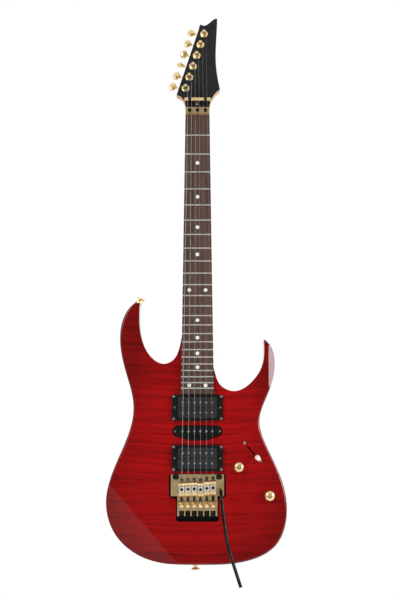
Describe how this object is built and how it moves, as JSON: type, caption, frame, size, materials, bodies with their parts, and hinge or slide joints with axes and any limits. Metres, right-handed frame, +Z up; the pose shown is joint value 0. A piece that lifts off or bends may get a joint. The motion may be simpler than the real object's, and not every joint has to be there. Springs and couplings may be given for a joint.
{
  "type": "electric guitar",
  "caption": "Solid-body electric guitar with a bolted neck, tilted headstock, three pickups, knobs, selector and a floating locking tremolo with an arm.",
  "frame": {"origin": "on the centre line at the nut, level with the crown of the fretboard", "axes": "+X to the treble side, +Y from the front towards the back, +Z up along the neck"},
  "size_m": [0.3128, 0.1099, 1.0169],
  "materials": {
    "body_wood": "translucent red gloss lacquer over light hardwood",
    "flamed_maple": "bookmatched flamed maple under translucent red gloss lacquer",
    "neck_maple": "satin clear finish",
    "black_lacquer": "gloss black",
    "rosewood": "oiled, open pores",
    "nickel": "polished nickel",
    "pearl": "pearl inlay",
    "steel": "plain steel",
    "black_plastic": "black",
    "gold": "polished gold plate",
    "black_steel": "blackened hex screws",
    "string_steel": "wound and plain string wire",
    "black_chrome": "black chrome",
    "cream_plastic": "off-white"
  },
  "bodies": {
    "guitar": {"body_core": "body_wood", "maple_top": "flamed_maple", "neck": "neck_maple", "headstock_face": "black_lacquer", "fretboard": "rosewood", "frets": "nickel", "position_dots": "pearl", "truss_rod": "steel", "truss_rod_cover": "black_plastic", "nut_base": "gold", "nut_clamps": "gold", "nut_bolts": "black_steel", "string_retainer": "gold", "strings": "string_steel", "neck_pickup": "black_plastic", "middle_pickup": "black_plastic", "bridge_pickup": "black_plastic", "pickup_rings": "black_plastic", "pickup_poles": "nickel", "mounting_screws": "nickel", "bridge_studs": "black_steel", "spring_claw": "steel", "tremolo_springs": "steel", "back_covers": "black_plastic", "strap_buttons": "gold", "output_jack": "gold", "control_pots": "steel", "switch_body": "steel", "tuner_housings": "gold", "tuner_bushings": "gold"},
    "tremolo": {"tremolo_plate": "gold", "sustain_block": "steel", "saddles": "gold", "string_clamp_blocks": "nickel", "saddle_screws": "black_steel", "arm_socket": "gold"},
    "arm": {"tremolo_arm": "black_chrome"},
    "volume": {"volume_knob": "gold"},
    "tone": {"tone_knob": "gold"},
    "selector": {"switch_lever": "steel", "switch_tip": "cream_plastic"},
    "fine_1": {"fine_tuner_1": "gold"},
    "button_1": {"tuner_button_1": "gold"},
    "post_1": {"tuner_post_1": "gold"},
    "fine_2": {"fine_tuner_2": "gold"},
    "button_2": {"tuner_button_2": "gold"},
    "post_2": {"tuner_post_2": "gold"},
    "fine_3": {"fine_tuner_3": "gold"},
    "button_3": {"tuner_button_3": "gold"},
    "post_3": {"tuner_post_3": "gold"},
    "fine_4": {"fine_tuner_4": "gold"},
    "button_4": {"tuner_button_4": "gold"},
    "post_4": {"tuner_post_4": "gold"},
    "fine_5": {"fine_tuner_5": "gold"},
    "button_5": {"tuner_button_5": "gold"},
    "post_5": {"tuner_post_5": "gold"},
    "fine_6": {"fine_tuner_6": "gold"},
    "button_6": {"tuner_button_6": "gold"},
    "post_6": {"tuner_post_6": "gold"}
  },
  "joints": [
    {"name": "tremolo_rock", "type": "hinge", "parent": "guitar", "child": "tremolo", "pos_m": [0, 0.0085, -0.6422], "axis": [-1, 0, 0], "range_deg": [-5, 10], "stiffness_Nm_per_rad": 60, "deforming": ["strings", "tremolo_springs"]},
    {"name": "arm_swing", "type": "hinge", "parent": "tremolo", "child": "arm", "pos_m": [0.0393, 0, -0.6603], "axis": [0, -1, 0], "range_deg": [-15, 95]},
    {"name": "fine_1_turn", "type": "hinge", "parent": "tremolo", "child": "fine_1", "pos_m": [-0.027, -0.0043, -0.6833], "axis": [0, -0.8192, -0.5736], "range_deg": [-1035, 1035]},
    {"name": "fine_2_turn", "type": "hinge", "parent": "tremolo", "child": "fine_2", "pos_m": [-0.0162, -0.0043, -0.6833], "axis": [0, -0.8192, -0.5736], "range_deg": [-1035, 1035]},
    {"name": "fine_3_turn", "type": "hinge", "parent": "tremolo", "child": "fine_3", "pos_m": [-0.0054, -0.0043, -0.6833], "axis": [0, -0.8192, -0.5736], "range_deg": [-1035, 1035]},
    {"name": "fine_4_turn", "type": "hinge", "parent": "tremolo", "child": "fine_4", "pos_m": [0.0054, -0.0043, -0.6833], "axis": [0, -0.8192, -0.5736], "range_deg": [-1035, 1035]},
    {"name": "fine_5_turn", "type": "hinge", "parent": "tremolo", "child": "fine_5", "pos_m": [0.0162, -0.0043, -0.6833], "axis": [0, -0.8192, -0.5736], "range_deg": [-1035, 1035]},
    {"name": "fine_6_turn", "type": "hinge", "parent": "tremolo", "child": "fine_6", "pos_m": [0.027, -0.0043, -0.6833], "axis": [0, -0.8192, -0.5736], "range_deg": [-1035, 1035]},
    {"name": "volume_turn", "type": "hinge", "parent": "guitar", "child": "volume", "pos_m": [0.0716, 0, -0.6217], "axis": [0, -1, 0], "range_deg": [-270, 0]},
    {"name": "tone_turn", "type": "hinge", "parent": "guitar", "child": "tone", "pos_m": [0.1243, 0, -0.6707], "axis": [0, -1, 0], "range_deg": [-270, 0]},
    {"name": "selector_swing", "type": "hinge", "parent": "guitar", "child": "selector", "pos_m": [0.0951, 0.0325, -0.5957], "axis": [-0.7495, 0, -0.662], "range_deg": [0, 40]},
    {"name": "button_1_turn", "type": "hinge", "parent": "guitar", "child": "button_1", "pos_m": [0.0139, 0.06177, 0.16629], "axis": [-0.9596, 0.0681, 0.2731], "continuous": true},
    {"name": "post_1_turn", "type": "hinge", "parent": "guitar", "child": "post_1", "pos_m": [0.0119, 0.04266, 0.16404], "axis": [0, -0.9703, 0.2419], "continuous": true},
    {"name": "button_2_turn", "type": "hinge", "parent": "guitar", "child": "button_2", "pos_m": [0.0072, 0.05625, 0.14413], "axis": [-0.9596, 0.0681, 0.2731], "continuous": true},
    {"name": "post_2_turn", "type": "hinge", "parent": "guitar", "child": "post_2", "pos_m": [0.0052, 0.03713, 0.14188], "axis": [0, -0.9703, 0.2419], "continuous": true},
    {"name": "button_3_turn", "type": "hinge", "parent": "guitar", "child": "button_3", "pos_m": [0.0005, 0.05072, 0.12197], "axis": [-0.9596, 0.0681, 0.2731], "continuous": true},
    {"name": "post_3_turn", "type": "hinge", "parent": "guitar", "child": "post_3", "pos_m": [-0.0015, 0.03161, 0.11971], "axis": [0, -0.9703, 0.2419], "continuous": true},
    {"name": "button_4_turn", "type": "hinge", "parent": "guitar", "child": "button_4", "pos_m": [-0.0062, 0.0452, 0.09981], "axis": [-0.9596, 0.0681, 0.2731], "continuous": true},
    {"name": "post_4_turn", "type": "hinge", "parent": "guitar", "child": "post_4", "pos_m": [-0.0082, 0.02608, 0.09755], "axis": [0, -0.9703, 0.2419], "continuous": true},
    {"name": "button_5_turn", "type": "hinge", "parent": "guitar", "child": "button_5", "pos_m": [-0.0129, 0.03967, 0.07765], "axis": [-0.9596, 0.0681, 0.2731], "continuous": true},
    {"name": "post_5_turn", "type": "hinge", "parent": "guitar", "child": "post_5", "pos_m": [-0.0149, 0.02056, 0.07539], "axis": [0, -0.9703, 0.2419], "continuous": true},
    {"name": "button_6_turn", "type": "hinge", "parent": "guitar", "child": "button_6", "pos_m": [-0.0196, 0.03415, 0.05549], "axis": [-0.9596, 0.0681, 0.2731], "continuous": true},
    {"name": "post_6_turn", "type": "hinge", "parent": "guitar", "child": "post_6", "pos_m": [-0.0216, 0.01503, 0.05323], "axis": [0, -0.9703, 0.2419], "continuous": true}
  ],
  "couplings": [
    {"joint": "post_1_turn", "follows": "button_1_turn", "ratio": -0.0625},
    {"joint": "post_2_turn", "follows": "button_2_turn", "ratio": -0.0625},
    {"joint": "post_3_turn", "follows": "button_3_turn", "ratio": -0.0625},
    {"joint": "post_4_turn", "follows": "button_4_turn", "ratio": -0.0625},
    {"joint": "post_5_turn", "follows": "button_5_turn", "ratio": -0.0625},
    {"joint": "post_6_turn", "follows": "button_6_turn", "ratio": -0.0625}
  ]
}
